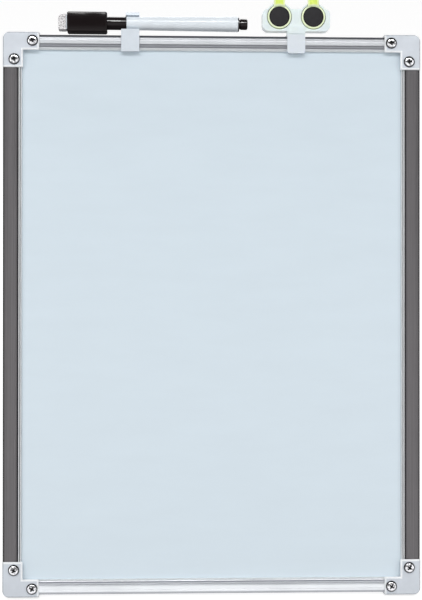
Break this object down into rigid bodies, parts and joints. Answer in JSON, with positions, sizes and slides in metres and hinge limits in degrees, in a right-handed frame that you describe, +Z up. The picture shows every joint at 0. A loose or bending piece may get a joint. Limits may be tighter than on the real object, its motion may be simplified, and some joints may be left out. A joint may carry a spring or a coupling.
{
  "type": "magnetic desk whiteboard easel",
  "caption": "Framed magnetic whiteboard leaning on a fold-out easel leg, with a clipped marker with eraser cap and a magnet holder on its top rail.",
  "frame": {"origin": "on the desk, below the middle of the whole standing board and leg", "axes": "+Z up, -Y towards the person who writes on the board, +X to the right seen from there"},
  "size_m": [0.3004, 0.1399, 0.4213],
  "materials": {
    "rail_aluminium": "bright anodised, drawn lines along the rail",
    "side_aluminium": "bright anodised, drawn lines along the rail",
    "cap_plastic": "semi-gloss white moulding",
    "chrome": "polished",
    "enamel": "glossy dry-wipe enamel",
    "fibreboard": "raw",
    "galvanised": "zinc finish",
    "bead_plastic": "satin",
    "bracket_steel": "zinc plated",
    "leg_plastic": "fine grain moulding",
    "foot_rubber": "matt",
    "clip_plastic": "semi-gloss white moulding",
    "barrel_plastic": "glossy white",
    "black_plastic": "semi-gloss black",
    "nib_felt": "pressed fibre",
    "reservoir_fibre": "fibre bundle",
    "eraser_felt": "mottled pressed felt",
    "holder_plastic": "translucent pale moulding",
    "lime_plastic": "translucent lime",
    "ferrite": "sintered, matt"
  },
  "bodies": {
    "frame": {"top_rail": "rail_aluminium", "bottom_rail": "rail_aluminium", "left_rail": "side_aluminium", "right_rail": "side_aluminium", "top_left_cap": "cap_plastic", "top_right_cap": "cap_plastic", "bottom_left_cap": "cap_plastic", "bottom_right_cap": "cap_plastic", "corner_screws": "chrome", "writing_sheet": "enamel", "core_panel": "fibreboard", "backing_sheet": "galvanised", "top_bead": "bead_plastic", "bottom_bead": "bead_plastic", "left_bead": "bead_plastic", "right_bead": "bead_plastic", "easel_bracket": "bracket_steel", "bracket_screws": "chrome", "hinge_pin": "bracket_steel"},
    "leg": {"easel_leg": "leg_plastic", "leg_foot_pad": "foot_rubber"},
    "clip": {"marker_clip": "clip_plastic"},
    "marker": {"marker_barrel": "barrel_plastic", "marker_end_plug": "black_plastic", "nib_holder": "black_plastic", "marker_nib": "nib_felt", "ink_reservoir": "reservoir_fibre"},
    "eraser_cap": {"marker_cap": "black_plastic", "eraser_felt": "eraser_felt"},
    "holder": {"magnet_holder": "holder_plastic"},
    "left_magnet": {"left_magnet_grip": "lime_plastic", "left_magnet_disc": "ferrite"},
    "right_magnet": {"right_magnet_grip": "lime_plastic", "right_magnet_disc": "ferrite"}
  },
  "joints": [
    {"name": "leg_fold", "type": "hinge", "parent": "frame", "child": "leg", "pos_m": [0, 0.01962, 0.26018], "axis": [-1, 0, 0], "range_deg": [0, 25]},
    {"name": "clip_slide", "type": "slide", "parent": "frame", "child": "clip", "axis": [1, 0, 0], "range_m": [-0.006, 0.005]},
    {"name": "marker_draw", "type": "slide", "parent": "clip", "child": "marker", "axis": [0, -0.9659, 0.2588], "range_m": [0, 0.018]},
    {"name": "cap_pull", "type": "slide", "parent": "marker", "child": "eraser_cap", "axis": [-1, 0, 0], "range_m": [0, 0.0135]},
    {"name": "holder_slide", "type": "slide", "parent": "frame", "child": "holder", "axis": [1, 0, 0], "range_m": [-0.004, 0.055]},
    {"name": "left_magnet_draw", "type": "slide", "parent": "holder", "child": "left_magnet", "axis": [0, -0.9659, 0.2588], "range_m": [0, 0.012]},
    {"name": "right_magnet_draw", "type": "slide", "parent": "holder", "child": "right_magnet", "axis": [0, -0.9659, 0.2588], "range_m": [0, 0.012]}
  ]
}
